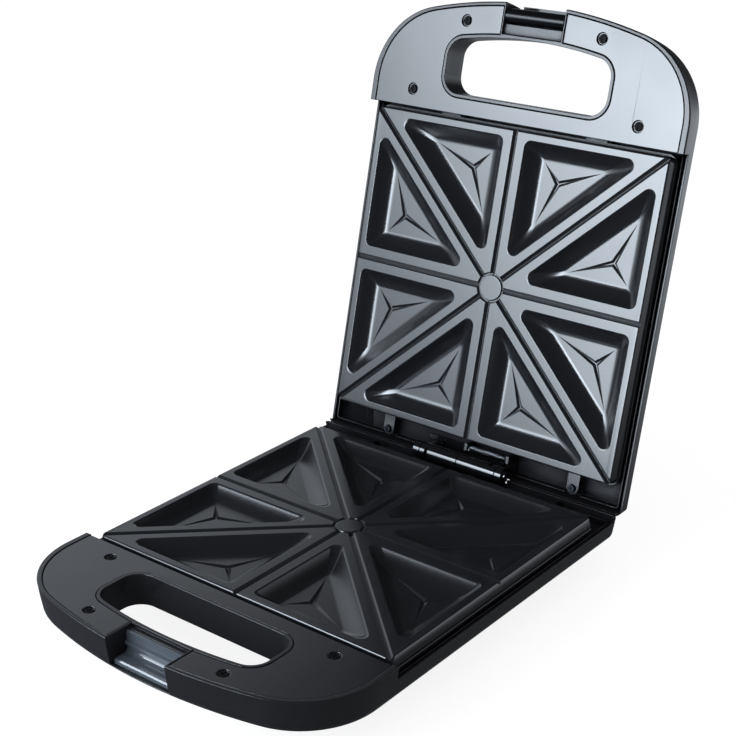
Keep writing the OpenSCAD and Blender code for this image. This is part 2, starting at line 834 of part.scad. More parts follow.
// The coil: one unbroken tube swept along a helix, with a straight run at each end.
guard_sides = 6;
guard_steps = 8;
guard_turns = guard_curls * guard_steps;
guard_pitch = (guard_l - 4 * guard_wire_r) / guard_curls;
function helix_point(i) =
    let(a = 360 * i / guard_steps)
    [guard_x0 + 2 * guard_wire_r + guard_pitch * i / guard_steps,
     guard_y + guard_r * cos(a), guard_z + guard_r * sin(a)];
function guard_path() = concat(
    [[guard_x0, guard_y + guard_r, guard_z]],
    [for (i = [0:guard_turns]) helix_point(i)],
    [[guard_x0 + guard_l, guard_y + guard_r, guard_z]]);

// A tube of n sides along points, whose sections face along the path.
module swept(path, r, n) {
    m = len(path);
    ring = [for (k = [0:m - 1])
        let(t = k == 0 || k == m - 1 ? [1, 0, 0] : unit(path[k + 1] - path[k - 1]),
            out = unit([0, path[k][1] - guard_y, path[k][2] - guard_z]),
            u = unit(out - t * (out * t)),
            v = cross(t, u))
            [for (j = [0:n - 1]) path[k] + r * (cos(360 * j / n) * u + sin(360 * j / n) * v)]];
    polyhedron(
        points = [for (q = ring) each q],
        faces = concat(
            [[for (j = [0:n - 1]) j]],
            [for (k = [0:m - 2], j = [0:n - 1]) let(i = (j + 1) % n)
                each [[k * n + j, (k + 1) * n + j, (k + 1) * n + i],
                      [k * n + j, (k + 1) * n + i, k * n + i]]],
            [[for (j = [n - 1:-1:0]) (m - 1) * n + j]]),
        convexity = 10);
}

function least_gap(path, skip) =
    min([for (i = [0:len(path) - 1 - skip], j = [i + skip:len(path) - 1])
        norm(path[i] - path[j])]);

module wire_guard() {
    echo(least_gap_of_the_coil =
        least_gap(guard_path(), guard_steps - 1) - 2 * guard_wire_r);
    color(bright) upper_half() swept(guard_path(), guard_wire_r, guard_sides);
}

// ---------- heating ----------

module tube_leg(x, y0, y1, r) {
    translate([x, y0, tube_z]) rotate([-90, 0, 0]) cylinder(h = y1 - y0, r = r);
}

module heating_element() {
    color(steel) {
        for (sx = [-1, 1]) {
            tube_leg(sx * tube_x, tube_front + bend_r, tube_rear, tube_r);
            tube_leg(sx * tube_x, tube_rear - 1, tube_rear + 8, 1.6);
        }
        for (sx = [-1, 1])
            translate([sx * (tube_x - bend_r), tube_front + bend_r, tube_z])
                rotate([0, 0, sx > 0 ? -90 : 180])
                    rotate_extrude(angle = 90) translate([bend_r, 0]) circle(r = tube_r);
        translate([-tube_x + bend_r, tube_front, tube_z]) rotate([0, 90, 0])
            cylinder(h = 2 * (tube_x - bend_r), r = tube_r);
    }
}

module element_clamp() {
    color(steel) difference() {
        block(-tube_x - 10, tube_x + 10, -plate_d / 2 - 7, -plate_d / 2 + 7,
              clamp_z - clamp_t, clamp_z);
        post(0, -plate_d / 2, clamp_z - cut, cut, clamp_shank_r + screw_fit);
    }
}

module clamp_screw() {
    color(steel) mirror([0, 0, 1])
        screw(0, -plate_d / 2, -clamp_z + clamp_t + head_t, clamp_t + 7, head_r, head_t,
              clamp_shank_r);
}

module heat_reflector() {
    hw = plate_w / 2 - 9;
    color(bright) difference() {
        slab(rounded_box(hw, -plate_d + 9, -9, 5), -reflector_z - sheet_t, -reflector_z + 4);
        slab(rounded_box(hw - sheet_t, -plate_d + 9 + sheet_t, -9 - sheet_t, 4.4),
             -reflector_z, cut);
        for (p = reflector_posts)
            post(p[0], p[1], -reflector_z - cut, cut, shank_r + screw_fit);
        for (sx = [-1, 1])
            block(sx * tube_x - 5, sx * tube_x + 5, -12, 0, -reflector_z + 1, cut);
    }
}

module reflector_screws() {
    color(steel) for (p = reflector_posts)
        screw(p[0], p[1], -reflector_z + 1.4, reflector_screw_l, head_r - 0.8, 1.4);
}

module lower_heating_element() { lower_half() heating_element(); }
module upper_heating_element() { upper_half() heating_element(); }
module lower_element_clamp() { lower_half() element_clamp(); }
module upper_element_clamp() { upper_half() element_clamp(); }
module lower_clamp_screw() { lower_half() clamp_screw(); }
module upper_clamp_screw() { upper_half() clamp_screw(); }
module lower_heat_reflector() { lower_half() heat_reflector(); }
module upper_heat_reflector() { upper_half() heat_reflector(); }
module lower_reflector_screws() { lower_half() reflector_screws(); }
module upper_reflector_screws() { upper_half() reflector_screws(); }

// The thermostat, screwed up against the back of the upper plate's dividing strip.
module thermostat() {
    color(bright) upper_half() {
        post(0, thermostat_y, -plate_t - 6, -plate_t - 0.05, 5.5);
        block(-3, 3, thermostat_y - 12, thermostat_y + 12, -plate_t - 0.8, -plate_t - 0.05);
        for (s = [-1, 1])
            block(-1.5, 1.5, thermostat_y + 3 * s - 0.4, thermostat_y + 3 * s + 0.4,
                  -plate_t - 12, -plate_t - 6 + eps);
    }
}

module thermal_fuse() {
    color(bright) upper_half() translate([0, fuse_y, -plate_t - fuse_r - 0.05])
        rotate([90, 0, 0]) {
            cylinder(h = 12, r = fuse_r, center = true);
            cylinder(h = 24, r = 0.5, center = true);
        }
}

// ---------- wiring fittings, lamps and feet ----------

module terminal_block() {
    color("ivory") lower_half() difference() {
        block(block_x, block_x + 30, block_y - 6, block_y + 6, belly_z + wall, belly_z + wall + 9);
        for (k = [0:2]) post(block_x + 5 + 10 * k, block_y, belly_z + wall + 3, cut, 2.2);
    }
}

module terminal_screws() {
    color(steel) lower_half() for (k = [0:2])
        screw(block_x + 5 + 10 * k, block_y, belly_z + wall + 7, 2, 2.1, 2, 1.4);
}

module inlet_line() {
    translate([inlet_x, belly_rear, inlet_z]) rotate([90, 0, 0]) children();
}

module inlet_hole() {
    inlet_line() cylinder(h = 40, r = inlet_r - 2 + 0.1, center = true);
}

// A rubber grommet with a flange on each side of the rear wall.
module cord_inlet() {
    color(black) lower_half() inlet_line() difference() {
        union() {
            translate([0, 0, -3.2]) cylinder(h = 2.4, r = inlet_r);
            translate([0, 0, -3.2]) cylinder(h = 10, r = inlet_r - 2);
        }
        translate([0, 0, -10]) cylinder(h = 30, r = 3.6);
    }
}

module lamp_lens(sx) {
    upper_half() {
        post(sx * lamp_x, lamp_y, belly_z, belly_z + 4, lens_r);
        translate([sx * lamp_x, lamp_y, belly_z])
            intersection() {
                translate([0, 0, 3]) sphere(r = 5);
                translate([-9, -9, -3]) cube([18, 18, 3 + eps]);
                cylinder(h = 20, r = lens_r, center = true);
            }
    }
}

module red_lamp_lens() { color("red") lamp_lens(-1); }
module green_lamp_lens() { color("lime") lamp_lens(1); }

// The little board with its two neon lamps, on a post inside the lid.
module lamp_holder() {
    color("ivory") upper_half() {
        block(-lamp_x - 7, lamp_x + 7, lamp_y - 5, lamp_y + 5, belly_z + 6, belly_z + 7.6);
        for (x = [-lamp_x, lamp_x]) post(x, lamp_y, belly_z + 4.6, belly_z + 6 + eps, 1.8);
        block(-3, 3, lamp_y - 3, lamp_y + 3, belly_z + wall, belly_z + 6 + eps);
    }
}

module rubber_feet() {
    color("#222222") lower_half() for (sx = [-1, 1], y = foot_ys)
        translate([sx * foot_x, y, belly_z - foot_h]) difference() {
            union() {
                cylinder(h = 1.5, r1 = foot_r - 1.2, r2 = foot_r);
                translate([0, 0, 1.5 - eps]) cylinder(h = foot_h - 1.5 + eps, r = foot_r);
            }
            translate([0, 0, -1]) cylinder(h = foot_h - 1, r = head_r + 0.4);
            cylinder(h = 3 * foot_h, r = shank_r + screw_fit);
        }
}

module foot_screws() {
    color(steel) lower_half() for (sx = [-1, 1], y = foot_ys)
        translate([sx * foot_x, y, belly_z]) mirror([0, 0, 1])
            screw(0, 0, 4, 6 + 2, head_r, head_t);
}

lower_housing();
lower_handle_cover();
lower_cover_screws();
lower_cooking_plate();
lower_plate_screws();
lower_heating_element();
lower_element_clamp();
lower_clamp_screw();
lower_heat_reflector();
lower_reflector_screws();
latch_catch();
lower_hinge_leaf();
lower_hinge_screws();
hinge_pin();
terminal_block();
terminal_screws();
cord_inlet();
rubber_feet();
foot_screws();
upper_housing();
upper_handle_cover();
upper_cover_screws();
upper_cooking_plate();
upper_plate_screws();
upper_heating_element();
upper_element_clamp();
upper_clamp_screw();
upper_heat_reflector();
upper_reflector_screws();
upper_hinge_leaf();
upper_hinge_screws();
wire_guard();
thermostat();
thermal_fuse();
lamp_holder();
red_lamp_lens();
green_lamp_lens();
latch_clip();
latch_pivot_pin();
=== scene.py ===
import math

import bmesh
import bpy
import numpy as np
from mathutils import Matrix


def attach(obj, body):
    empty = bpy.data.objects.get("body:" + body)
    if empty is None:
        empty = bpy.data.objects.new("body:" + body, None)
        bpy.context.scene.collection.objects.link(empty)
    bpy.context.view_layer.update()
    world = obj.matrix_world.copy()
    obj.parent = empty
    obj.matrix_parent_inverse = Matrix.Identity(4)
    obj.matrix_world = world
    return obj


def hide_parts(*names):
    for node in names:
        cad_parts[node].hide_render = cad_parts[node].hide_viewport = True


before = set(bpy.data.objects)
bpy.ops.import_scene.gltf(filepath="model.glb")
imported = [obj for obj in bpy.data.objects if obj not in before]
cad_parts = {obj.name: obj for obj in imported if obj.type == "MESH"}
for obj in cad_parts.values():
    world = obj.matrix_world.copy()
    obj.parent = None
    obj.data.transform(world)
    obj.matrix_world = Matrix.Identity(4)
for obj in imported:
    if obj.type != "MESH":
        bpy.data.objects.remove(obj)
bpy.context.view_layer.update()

# ---- Camera and studio ----
# The camera stands in front of the toaster's right corner, where the photograph was taken. The
# toaster stands on a white sweep. A tall softbox at the front left lights it, and the upright
# lid mirrors that softbox.

scene = bpy.context.scene
scene.view_settings.view_transform = "Standard"

camera_data = bpy.data.cameras.new("camera")
camera_data.sensor_width = 36.0
camera_data.lens = 76.87
camera_data.clip_start, camera_data.clip_end = 0.05, 50.0
camera = bpy.data.objects.new("camera", camera_data)
camera_place = (0.579384, -0.738437, 0.535795)
camera_right = (0.787601, 0.616156, 0.005992)
camera_up = (-0.237294, 0.294319, 0.92578)
camera_back = (0.568661, -0.730567, 0.378016)
camera.matrix_world = Matrix.Translation(camera_place) @ Matrix(
    (camera_right, camera_up, camera_back)).transposed().to_4x4()
scene.collection.objects.link(camera)
scene.camera = camera


def node(tree, kind, settings=None, inputs=None, links=None):
    """Adds one shader node: its settings, its input values, and links into its inputs."""
    n = tree.nodes.new(kind)
    for key, value in (settings or {}).items():
        setattr(n, key, value)
    for key, value in (inputs or {}).items():
        n.inputs[key].default_value = value
    for key, socket in (links or {}).items():
        tree.links.new(socket, n.inputs[key])
    return n


def seen_rays(tree):
    """1 for camera, glossy and transmission rays and 0 for the rest, which carry light."""
    path = node(tree, "ShaderNodeLightPath").outputs
    seen = path["Is Camera Ray"]
    for ray in ("Is Glossy Ray", "Is Transmission Ray"):
        seen = node(tree, "ShaderNodeMath", {"operation": "MAXIMUM"},
                    links={0: seen, 1: path[ray]}).outputs["Value"]
    return seen


# The world is white to look at, and lights the toaster less than that, from all sides.
WORLD_LIGHT = 0.62
world = bpy.data.worlds.new("studio")
world.use_nodes = True
wt = world.node_tree
wt.nodes.clear()
world_strength = node(wt, "ShaderNodeMapRange", inputs={"To Min": WORLD_LIGHT, "To Max": 1.0},
                      links={"Value": seen_rays(wt)})
background = node(wt, "ShaderNodeBackground", inputs={"Color": (1.0, 1.0, 1.0, 1.0)},
                  links={"Strength": world_strength.outputs["Result"]})
node(wt, "ShaderNodeOutputWorld", links={"Surface": background.outputs["Background"]})
scene.world = world


def on_stage(name, points, faces):
    """A part of the studio, which isn't part of the toaster, from its points and faces."""
    mesh = bpy.data.meshes.new(name)
    mesh.from_pydata(points, [], faces)
    made = bpy.data.objects.new(name, mesh)
    scene.collection.objects.link(made)
    return made


def sheet(name, centre, across, up, width, height):
    """A flat rectangle about a centre, spanned by two directions, with its face towards their
    cross product."""
    c, a, u = (np.array(v, float) for v in (centre, across, up))
    a, u = a / np.linalg.norm(a) * width / 2, u / np.linalg.norm(u) * height / 2
    return on_stage(name, [c - a - u, c + a - u, c + a + u, c - a + u], [(0, 1, 2, 3)])


def bare_material(name):
    """A new material with an empty node tree."""
    material = bpy.data.materials.new(name)
    material.use_nodes = True
    material.node_tree.nodes.clear()
    return material, material.node_tree


# The sweep: white paper. To the camera and in reflections it is nearly white by itself, and the
# light that falls on it adds the rest, so the toaster's shadow stays on it.
PAPER_GLOW, PAPER_LIT, PAPER_GREY = 0.86, 0.26, 0.7
floor = sheet("floor", (0, 0, 0), (1, 0, 0), (0, 1, 0), 12.0, 12.0)
paper, pt = bare_material("white paper")
paper_own = node(pt, "ShaderNodeEmission", inputs={"Strength": PAPER_GLOW})
paper_lit = node(pt, "ShaderNodeBsdfDiffuse",
                 inputs={"Color": (PAPER_LIT, PAPER_LIT, PAPER_LIT, 1)})
paper_seen = node(pt, "ShaderNodeAddShader",
                  links={0: paper_own.outputs[0], 1: paper_lit.outputs[0]})
paper_plain = node(pt, "ShaderNodeBsdfDiffuse",
                   inputs={"Color": (PAPER_GREY, PAPER_GREY, PAPER_GREY, 1)})
paper_mix = node(pt, "ShaderNodeMixShader",
                 links={0: seen_rays(pt), 1: paper_plain.outputs[0], 2: paper_seen.outputs[0]})
node(pt, "ShaderNodeOutputMaterial", links={"Surface": paper_mix.outputs[0]})
floor.data.materials.append(paper)


def glowing(name, colour, strength):
    """A sheet's own light, whose strength is a function that gives a socket of the tree."""
    material, tree = bare_material(name)
    glow = node(tree, "ShaderNodeEmission", inputs={"Color": (*colour, 1.0)},
                links={"Strength": strength(tree)})
    node(tree, "ShaderNodeOutputMaterial", links={"Surface": glow.outputs[0]})
    return material


def rising(direction, low, high, weak, strong):
    """A strength that rises along a direction, from weak at low to strong at high, in metres."""
    def strength(tree):
        where = node(tree, "ShaderNodeTexCoord").outputs["Object"]
        along = node(tree, "ShaderNodeVectorMath", {"operation": "DOT_PRODUCT"},
                     {1: direction}, {0: where})
        return node(tree, "ShaderNodeMapRange",
                    inputs={"From Min": low, "From Max": high, "To Min": weak, "To Max": strong},
                    links={"Value": along.outputs["Value"]}).outputs["Result"]
    return strength


def summed(*parts):
    """The sum of several strengths."""
    def strength(tree):
        total = parts[0](tree)
        for part in parts[1:]:
            total = node(tree, "ShaderNodeMath", {"operation": "ADD"},
                         links={0: total, 1: part(tree)}).outputs["Value"]
        return total
    return strength


# The softbox: a cloth 0.86 m wide and 0.67 m high. What a mirror sees of it grows to its upper
# right, as on the photographed lid, and what it lights is level.
SOFTBOX_LIGHT = 6.4
DAYLIGHT = (0.9, 1.0, 1.11)
softbox_seen = rising(direction=(0.669, -0.397, 0.628), low=-0.061, high=0.628, weak=3.4,
                      strong=28.5)


def softbox_strength(tree):
    """The graded strength for glossy rays, and the level one for all others."""
    is_glossy = node(tree, "ShaderNodeLightPath").outputs["Is Glossy Ray"]
    return node(tree, "ShaderNodeMapRange", inputs={"To Min": SOFTBOX_LIGHT},
                links={"Value": is_glossy, "To Max": softbox_seen(tree)}).outputs["Result"]


softbox = sheet("softbox", (-0.44, -0.846, 0.335), (0.86, -0.51, 0), (0, 0, 1), 0.86, 0.67)
softbox.data.materials.append(glowing("softbox cloth", DAYLIGHT, softbox_strength))
softbox.visible_camera = False

# Painted reflections: a dark dome beyond the paper and a dark sheet on the floor, which glow for
# glossy rays only, light nothing and cast no shadow. The dome has a painted glow round the
# softbox, is lighter at the back left and lit at the back right, and the sheet is lighter at the
# back. The black plastic and the coating mirror them, and keep their depth. The dome: points at
# angles up and round, a radius from the middle of the floor.
DOME_R, DOME_RINGS, DOME_SPOKES = 3.0, 24, 48
PAINTED_GLOW_WHITE = (0.9, 0.97, 1.05)
tilt, turn = np.meshgrid(np.linspace(-0.02, math.pi / 2, DOME_RINGS),
                         np.arange(DOME_SPOKES) * 2 * math.pi / DOME_SPOKES, indexing="ij")
dome_points = DOME_R * np.stack([np.cos(tilt) * np.cos(turn), np.cos(tilt) * np.sin(turn),
                                 np.sin(tilt)], 2).reshape(-1, 3)
ring, spoke = np.meshgrid(np.arange(DOME_RINGS - 1), np.arange(DOME_SPOKES), indexing="ij")
next_spoke = (spoke + 1) % DOME_SPOKES
dome_faces = np.stack([ring * DOME_SPOKES + spoke, (ring + 1) * DOME_SPOKES + spoke,
                       (ring + 1) * DOME_SPOKES + next_spoke, ring * DOME_SPOKES + next_spoke],
                      2).reshape(-1, 4)
reflection_dome = on_stage("reflection_dome", dome_points, dome_faces.tolist())
painted_glow_back_left = rising(direction=(-0.95, 0.3, 0.0), low=1.95, high=2.45, weak=0.05, strong=0.95)
painted_glow_round_softbox = rising(direction=(-0.5, -0.86, 0.02), low=2.2, high=2.9, weak=0.0, strong=4.0)
painted_glow_back_right = rising(direction=(0.68, 0.73, 0.05), low=2.5, high=2.95, weak=0.0, strong=2.0)
reflection_dome.data.materials.append(
    glowing("painted reflection dome", PAINTED_GLOW_WHITE, summed(painted_glow_back_left, painted_glow_round_softbox, painted_glow_back_right)))
# The dark floor sheet of painted reflection, lighter at the back.
table = sheet("table", (0, 0, 0.0004), (1, 0, 0), (0, 1, 0), 2 * DOME_R, 2 * DOME_R)
table.data.materials.append(
    glowing("painted reflection floor", PAINTED_GLOW_WHITE,
            rising(direction=(0.6, 0.8, 0.0), low=0.25, high=1.0, weak=0.12, strong=1.3)))
for dark in (reflection_dome, table):
    dark.visible_camera = dark.visible_diffuse = dark.visible_transmission = False
    dark.visible_shadow = False

# ---- Housings ----
# The two outer shells, moulded in charcoal ABS with a satin skin. Both are one shape, drawn in a
# "half" frame in millimetres: x across, y = 0 at the plate's rear edge and negative towards the
# handle, z = 0 on the plane where the halves meet, outside below it.

MM = 0.001
PLATE_W, PLATE_D = 240.0, 224.5
HALF_W, REAR_D = 129.0, 22.0
FRONT_Y = -310.5
FRONT_R, CORNER_R, REAR_R = 350.0, 58.0, 5.0
ARC_Y = FRONT_Y + FRONT_R
WALL, RIM_DROP, REAR_RISE = 2.4, 9.0, 3.2
DECK_Z, DECK_T, DECK_EDGE = -15.0, 2.0, 8.0
HANDLE_FLOOR, BELLY_Z = -22.0, -38.0
COVER_Y = -(PLATE_D + 3.5)
STEP_Y = COVER_Y + 0.2
SEAM, COVER_UNDER = 0.45, -2.6
HOLE_W, HOLE_R, BAR_D, LIP_W = 132.8, 13.0, 25.0, 2.4
HOLE_Y = -(PLATE_D + 17.5)
NOTCH_W, NOTCH_EDGE, SIDE_POST, STRIP_DROP = 48.0, 1.6, 6.0, 2.4
LOWER_NOTCH_D, LOWER_NOTCH_FLOOR = 19.5, HANDLE_FLOOR + 1.8
UPPER_NOTCH_D, UPPER_NOTCH_FLOOR = 15.5, -12.0
BARREL_END, BARREL_GAP, LEAF_GAP = 38.2, 0.3, 2.0
PLATE_REST = -9.5
LUG_XS, LUG_Y, LUG_HOLE = (-73.0, 88.0), 12.0, 11.0
TONGUE_XS, TONGUE_SEAT_W = (-60.0, 60.0), 20.0
SCREW_XY = ((-92.3, -240.5), (92.3, -240.5), (-54.8, -293.5), (54.8, -293.5))
SEAT_R, SCREW_HOLE_R = 4.5, 1.5
LAMP_XS, LAMP_Y, LAMP_HOLE_R = (-11.0, 11.0), COVER_Y - 5 + 32, 3.6
INLET_X, INLET_Z, INLET_HOLE_R = 72.0, -29.0, 5.6
PIVOT_Y, PIVOT_Z, PIVOT_HOLE_R, PIVOT_HALF = FRONT_Y + 9.5, -5.2, 1.27, 28.2
EDGE_R, EDGE_STEPS = 0.45, 3
# Cutters reach this far past the shell: across, in front and behind, and up or down.
PAST_SIDE, PAST, FAR = 200, 5, 60.0

# The lower half stands on its feet. The upper one is turned over, lifted by the gap between the
# closed halves, and swung open about the hinge line.
ORIGIN_Y, FEET_Z = 98.66169, 44.0
HINGE_Y, HINGE_Z, LIFT = 16.6, -1.6, 0.3
OPEN = math.radians(103.0)


def to_lower(p):
    """Half frame to row frame for the lower half: a shift, in metres."""
    return (p + np.array([0.0, ORIGIN_Y, FEET_Z])) * MM


def to_upper(p):
    """Half frame to row frame for the upper half: z is turned over, then the point is turned
    about the hinge line by the opening angle."""
    a, b = p[:, 1] - HINGE_Y, -p[:, 2] + LIFT - HINGE_Z
    c, s = math.cos(OPEN), math.sin(OPEN)
    y = a * c + b * s + ORIGIN_Y + HINGE_Y
    z = -a * s + b * c + FEET_Z + HINGE_Z
    return np.stack([p[:, 0], y, z], 1) * MM


def arc(cx, cy, r, a0, a1, n):
    """n + 1 points on a circle: centre plus r times (cos a, sin a), a in degrees."""
    a = np.radians(np.linspace(a0, a1, n + 1))
    return np.stack([cx + r * np.cos(a), cy + r * np.sin(a)], 1)


def d_outline(hw, r, cy, cr, ry, rr, d=0.0):
    """A straight-sided outline whose front edge is one large arc of radius r about (0, cy), with
    front corners of radius cr and rear corners of radius rr, drawn in by d. The front corner's
    centre lies where a circle of r - cr about (0, cy) meets x = hw - cr."""
    cx = hw - cr
    yc = cy - math.sqrt((r - cr) ** 2 - cx * cx)
    a = math.degrees(math.atan2(yc - cy, cx)) + 360
    return np.concatenate([
        arc(hw - rr, ry - rr, rr - d, 0, 90, 8),
        arc(-(hw - rr), ry - rr, rr - d, 90, 180, 8),
        arc(-cx, yc, cr - d, 180, 540 - a, 28),
        arc(0, cy, r - d, 540 - a, a, 48)[1:-1],
        arc(cx, yc, cr - d, a, 360, 28)])


def body_outline(d=0.0):
    return d_outline(HALF_W, FRONT_R, ARC_Y, CORNER_R, REAR_D, REAR_R, d)


def cover_outline(d=0.0):
    return d_outline(HALF_W - 5, FRONT_R - 3, ARC_Y, CORNER_R - 4, COVER_Y, 1, d)


def hole_outline(d=0.0):
    return d_outline(HOLE_W / 2, FRONT_R - BAR_D, ARC_Y, HOLE_R, HOLE_Y, HOLE_R, d)


def rounded_box(hw, front, rear, r, n=10):
    """A rectangle with corners of radius r, each of n steps."""
    return np.concatenate([
        arc(hw - r, rear - r, r, 0, 90, n), arc(-(hw - r), rear - r, r, 90, 180, n),
        arc(-(hw - r), front + r, r, 180, 270, n), arc(hw - r, front + r, r, 270, 360, n)])


def temporary(verts, faces):
    """A scratch object from arrays, used up by the cuts and joins below. Its many-sided faces
    are cut into triangles, because a large hole through one face turns part of it over."""
    mesh = bpy.data.meshes.new("scratch")
    mesh.from_pydata(verts, [], faces)
    bm = bmesh.new()
    bm.from_mesh(mesh)
    bmesh.ops.triangulate(bm, faces=[f for f in bm.faces if len(f.verts) > 4])
    bm.to_mesh(mesh)
    bm.free()
    o = bpy.data.objects.new("scratch", mesh)
    scene.collection.objects.link(o)
    return o


def skinned(rings):
    """A closed solid through rings of as many 3-D points each: quads between neighbouring rings,
    and a flat face on each end."""
    m, n = len(rings), len(rings[0])
    i = np.arange(n)
    j = (i + 1) % n
    k = (np.arange(m - 1) * n)[:, None]
    quads = np.stack([k + i, k + j, k + n + j, k + n + i], 2).reshape(-1, 4)
    ends = [list(range(n))[::-1], list(range((m - 1) * n, m * n))]
    return temporary(np.concatenate(rings), quads.tolist() + ends)


def loft(rings):
    """A solid through level outlines, listed with their heights from the lowest up."""
    return skinned([np.column_stack([ring, np.full(len(ring), z)]) for ring, z in rings])


def bar(section, half_length):
    """A section in y and z carried along x."""
    return skinned([np.column_stack([np.full(len(section), x), section])
                    for x in (-half_length, half_length)])


def slab(outline, z0, z1):
    return loft([(outline, z0), (outline, z1)])


def block(x0, x1, y0, y1, z0, z1):
    return slab(np.array([[x1, y0], [x1, y1], [x0, y1], [x0, y0]], float), z0, z1)


def post(x, y, z0, z1, r, sides=40):
    return slab(arc(x, y, r, 0, 360, sides)[:-1], z0, z1)


JOIN, CUT, BOTH = "UNION", "DIFFERENCE", "INTERSECT"


def each(way, solids):
    """The same step for several solids."""
    return [(way, o) for o in solids]


def combine(first, *steps):
    """Joins to the first solid, cuts from it, or keeps what both fill, in the order given, and
    returns the result as a new scratch object."""
    for way, other in steps:
        m = first.modifiers.new(way, "BOOLEAN")
        m.operation, m.solver, m.object = way, "MANIFOLD", other
    mesh = bpy.data.meshes.new_from_object(
        first.evaluated_get(bpy.context.evaluated_depsgraph_get()))
    for o in {first, *(other for _, other in steps)}:
        bpy.data.objects.remove(o)
    made = bpy.data.objects.new("scratch", mesh)
    scene.collection.objects.link(made)
    return made


# The belly's steps from the bottom up: how far in from the sides, the front and the rear, the
# corners' radius, the height, and how much of the wall its inner face is raised by.
BELLY_STEPS = ((28, 21, 11, 12, BELLY_Z, 1), (24, 17, 7, 15, BELLY_Z + 0.6, 1),
               (20, 13, 4, 16, BELLY_Z + 2.4, 0.6), (15, 8, 1, 16, BELLY_Z + 8, 0),
               (6, 0, 0, 14, HANDLE_FLOOR + 3, 0))
# The outer form's steps from the bottom up: how far in, and the height. It tapers down from its
# widest, just under the softly rounded rim.
OUTER_STEPS = ((4.6, HANDLE_FLOOR), (4.1, HANDLE_FLOOR + 0.25), (3.6, HANDLE_FLOOR + 1.1),
               (2.8, HANDLE_FLOOR + 2.6), (2.4, HANDLE_FLOOR + 4), (1, -RIM_DROP), (0.2, -2.2),
               (0, -1.1), (0.12, -0.55), (0.42, -0.16), (0.9, 0))
INNER_STEPS = ((4.9, HANDLE_FLOOR + WALL), (2 + WALL, HANDLE_FLOOR + WALL + 4),
               (2.6, -RIM_DROP), (WALL - 0.4, 5))


def belly(d):
    """The deep middle of a housing, drawn in by d: a rounded tray that narrows downwards."""
    front, rear = COVER_Y - 5, REAR_D - 4
    return loft([(rounded_box(HALF_W - side - d, front + ahead + d, rear - behind - d, r),
                  z + rise * d) for side, ahead, behind, r, z, rise in BELLY_STEPS])


def outer_form():
    """The outside of a housing without its belly: a tapered tray with soft edges."""
    return loft([(body_outline(d), z) for d, z in OUTER_STEPS])


def shell():
    """Outer form less inner form: the walls of a housing, open at the meeting plane."""
    inner = loft([(body_outline(d), z) for d, z in INNER_STEPS])
    return combine(outer_form(), (JOIN, belly(0)), (CUT, inner), (CUT, belly(WALL)))


def deck_rib():
    """The low rib round the deck that the plate's skirt drops inside, open at barrel and lugs."""
    outside, inside = WALL + 2.2, WALL + 3.4
    low = DECK_Z - PAST
    return combine(
        slab(rounded_box(HALF_W - outside, STEP_Y, REAR_D - outside, 3), DECK_Z - 0.1,
             -RIM_DROP - 0.6),
        (CUT, slab(rounded_box(HALF_W - inside, STEP_Y - PAST, REAR_D - inside, 2), low, PAST)),
        (CUT, block(-BARREL_END - LEAF_GAP, BARREL_END + LEAF_GAP, 0, REAR_D, low, PAST)),
        *each(CUT, [block(x - LUG_HOLE / 2, x + LUG_HOLE / 2, 0, REAR_D, low, PAST)
                    for x in LUG_XS]))


